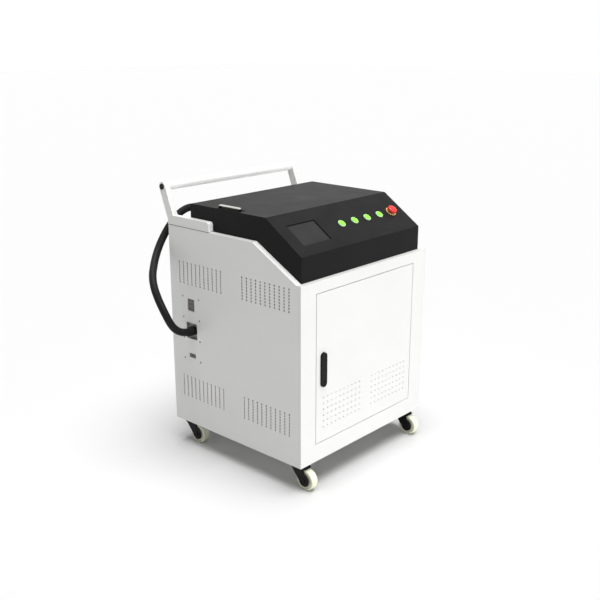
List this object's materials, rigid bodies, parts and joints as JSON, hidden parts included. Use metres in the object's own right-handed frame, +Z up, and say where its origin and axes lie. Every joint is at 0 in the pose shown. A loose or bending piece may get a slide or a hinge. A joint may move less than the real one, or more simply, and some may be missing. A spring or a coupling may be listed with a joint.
{
  "type": "handheld laser cleaner",
  "caption": "Wheeled cabinet with a sloped console, push handle, door and vents, and a hose to a parked hand-held cleaning head.",
  "frame": {"origin": "on the floor, under the centre of the box round the cart without its hose", "axes": "+Z up, -Y towards the door at the front, +X towards the operator's right when facing the door"},
  "size_m": [0.8498, 0.7484, 1.009],
  "materials": {
    "white_coat": "light textured powder coat",
    "black_coat": "fine textured powder coat",
    "port_plate": "satin",
    "bright_steel": "polished",
    "breaker_plastic": "matt",
    "dark_plastic": "satin",
    "screen_glass": "smooth, dark behind",
    "display_grey": "matt",
    "bezel_pale": "gloss",
    "green_cap": "gloss",
    "gold_ring": "satin",
    "red_cap": "gloss",
    "grey_steel": "brushed",
    "gloss_black": "gloss",
    "caster_black": "satin black",
    "wheel_cream": "smooth",
    "galvanised": "satin",
    "laser_case": "anodised",
    "supply_case": "satin",
    "control_case": "satin",
    "tank_plastic": "smooth",
    "pump_paint": "painted",
    "radiator_alloy": "mill",
    "bracket_paint": "satin",
    "hose_rubber": "satin",
    "head_alloy": "anodised black",
    "nozzle_brass": "turned",
    "drawer_alloy": "anodised"
  },
  "bodies": {
    "cabinet": {"base_tray": "white_coat", "left_panel": "white_coat", "right_panel": "white_coat", "front_frame": "white_coat", "rear_panel": "white_coat", "rear_deck": "white_coat", "console_cover": "black_coat", "connector_plate": "port_plate", "connector_screws": "bright_steel", "breaker_body": "breaker_plastic", "data_port": "dark_plastic", "screen_bezel": "dark_plastic", "screen_glass": "screen_glass", "display_module": "display_grey", "button_bezels": "bezel_pale", "switch_blocks": "dark_plastic", "stop_ring": "gold_ring", "handle_arms": "white_coat", "handle_bar": "white_coat", "handle_plugs": "dark_plastic", "lift_bar": "bright_steel", "door_pins": "grey_steel", "caster_plates": "caster_black", "equipment_shelf": "galvanised", "laser_source": "laser_case", "power_supply": "supply_case", "control_unit": "control_case", "water_tank": "tank_plastic", "water_pump": "pump_paint", "radiator": "radiator_alloy", "fan_frame": "dark_plastic", "fan_guard": "grey_steel", "storage_bracket": "bracket_paint", "hose_gland": "dark_plastic", "hose_lead": "hose_rubber", "hose_coil": "hose_rubber", "hose_tail": "hose_rubber", "head_body": "head_alloy", "head_nozzle": "nozzle_brass"},
    "door": {"door_panel": "white_coat", "latch_body": "gloss_black"},
    "latch_paddle": {"latch_paddle": "gloss_black"},
    "latch_cam": {"latch_cam": "grey_steel"},
    "button_1": {"button_1": "green_cap"},
    "button_2": {"button_2": "green_cap"},
    "button_3": {"button_3": "green_cap"},
    "button_4": {"button_4": "green_cap"},
    "stop_head": {"stop_head": "red_cap"},
    "breaker_toggle": {"breaker_toggle": "dark_plastic"},
    "fan_rotor": {"fan_rotor": "dark_plastic"},
    "head_trigger": {"head_trigger": "red_cap"},
    "lens_drawer": {"lens_drawer": "drawer_alloy"},
    "fork_front_left": {"fork_front_left": "caster_black"},
    "wheel_front_left": {"wheel_front_left": "wheel_cream"},
    "fork_front_right": {"fork_front_right": "caster_black"},
    "wheel_front_right": {"wheel_front_right": "wheel_cream"},
    "fork_rear_left": {"fork_rear_left": "caster_black"},
    "wheel_rear_left": {"wheel_rear_left": "wheel_cream"},
    "fork_rear_right": {"fork_rear_right": "caster_black"},
    "wheel_rear_right": {"wheel_rear_right": "wheel_cream"}
  },
  "joints": [
    {"name": "door_hinge", "type": "hinge", "parent": "cabinet", "child": "door", "pos_m": [0.268, -0.34425, 0.434], "axis": [0, 0, 1], "range_deg": [0, 105]},
    {"name": "latch_pull", "type": "hinge", "parent": "door", "child": "latch_paddle", "pos_m": [-0.237, -0.35375, 0.4735], "axis": [-1, 0, 0], "range_deg": [0, 35], "stiffness_Nm_per_rad": 0.2},
    {"name": "latch_turn", "type": "hinge", "parent": "door", "child": "latch_cam", "pos_m": [-0.237, -0.33375, 0.431], "axis": [0, 1, 0], "range_deg": [0, 75]},
    {"name": "press_button_1", "type": "slide", "parent": "cabinet", "child": "button_1", "axis": [0, 0.5606, -0.8281], "range_m": [0, 0.0025], "stiffness_N_per_m": 800},
    {"name": "press_button_2", "type": "slide", "parent": "cabinet", "child": "button_2", "axis": [0, 0.5606, -0.8281], "range_m": [0, 0.0025], "stiffness_N_per_m": 800},
    {"name": "press_button_3", "type": "slide", "parent": "cabinet", "child": "button_3", "axis": [0, 0.5606, -0.8281], "range_m": [0, 0.0025], "stiffness_N_per_m": 800},
    {"name": "press_button_4", "type": "slide", "parent": "cabinet", "child": "button_4", "axis": [0, 0.5606, -0.8281], "range_m": [0, 0.0025], "stiffness_N_per_m": 800},
    {"name": "press_stop", "type": "slide", "parent": "cabinet", "child": "stop_head", "axis": [0, 0.5606, -0.8281], "range_m": [0, 0.004]},
    {"name": "throw_breaker", "type": "hinge", "parent": "cabinet", "child": "breaker_toggle", "pos_m": [-0.343, 0.19325, 0.572], "axis": [0, 1, 0], "range_deg": [0, 56]},
    {"name": "fan_spin", "type": "hinge", "parent": "cabinet", "child": "fan_rotor", "pos_m": [0.165, 0.28125, 0.262], "axis": [0, 1, 0], "continuous": true},
    {"name": "swivel_front_left", "type": "hinge", "parent": "cabinet", "child": "fork_front_left", "pos_m": [-0.303, -0.30175, 0.084], "axis": [0, 0, 1], "continuous": true},
    {"name": "spin_front_left", "type": "hinge", "parent": "fork_front_left", "child": "wheel_front_left", "pos_m": [-0.303, -0.33675, 0.0375], "axis": [1, 0, 0], "continuous": true},
    {"name": "swivel_front_right", "type": "hinge", "parent": "cabinet", "child": "fork_front_right", "pos_m": [0.303, -0.30175, 0.084], "axis": [0, 0, 1], "continuous": true},
    {"name": "spin_front_right", "type": "hinge", "parent": "fork_front_right", "child": "wheel_front_right", "pos_m": [0.303, -0.33675, 0.0375], "axis": [1, 0, 0], "continuous": true},
    {"name": "swivel_rear_left", "type": "hinge", "parent": "cabinet", "child": "fork_rear_left", "pos_m": [-0.303, 0.25425, 0.084], "axis": [0, 0, 1], "continuous": true},
    {"name": "spin_rear_left", "type": "hinge", "parent": "fork_rear_left", "child": "wheel_rear_left", "pos_m": [-0.303, 0.21925, 0.0375], "axis": [1, 0, 0], "continuous": true},
    {"name": "swivel_rear_right", "type": "hinge", "parent": "cabinet", "child": "fork_rear_right", "pos_m": [0.303, 0.25425, 0.084], "axis": [0, 0, 1], "continuous": true},
    {"name": "spin_rear_right", "type": "hinge", "parent": "fork_rear_right", "child": "wheel_rear_right", "pos_m": [0.303, 0.21925, 0.0375], "axis": [1, 0, 0], "continuous": true},
    {"name": "pull_trigger", "type": "hinge", "parent": "cabinet", "child": "head_trigger", "pos_m": [0.25, 0.36625, 0.644], "axis": [-1, 0, 0], "range_deg": [0, 7], "stiffness_Nm_per_rad": 0.4},
    {"name": "draw_lens", "type": "slide", "parent": "cabinet", "child": "lens_drawer", "axis": [1, 0, 0], "range_m": [0, 0.042]}
  ],
  "couplings": [
    {"joint": "latch_turn", "follows": "latch_pull", "ratio": 2}
  ]
}
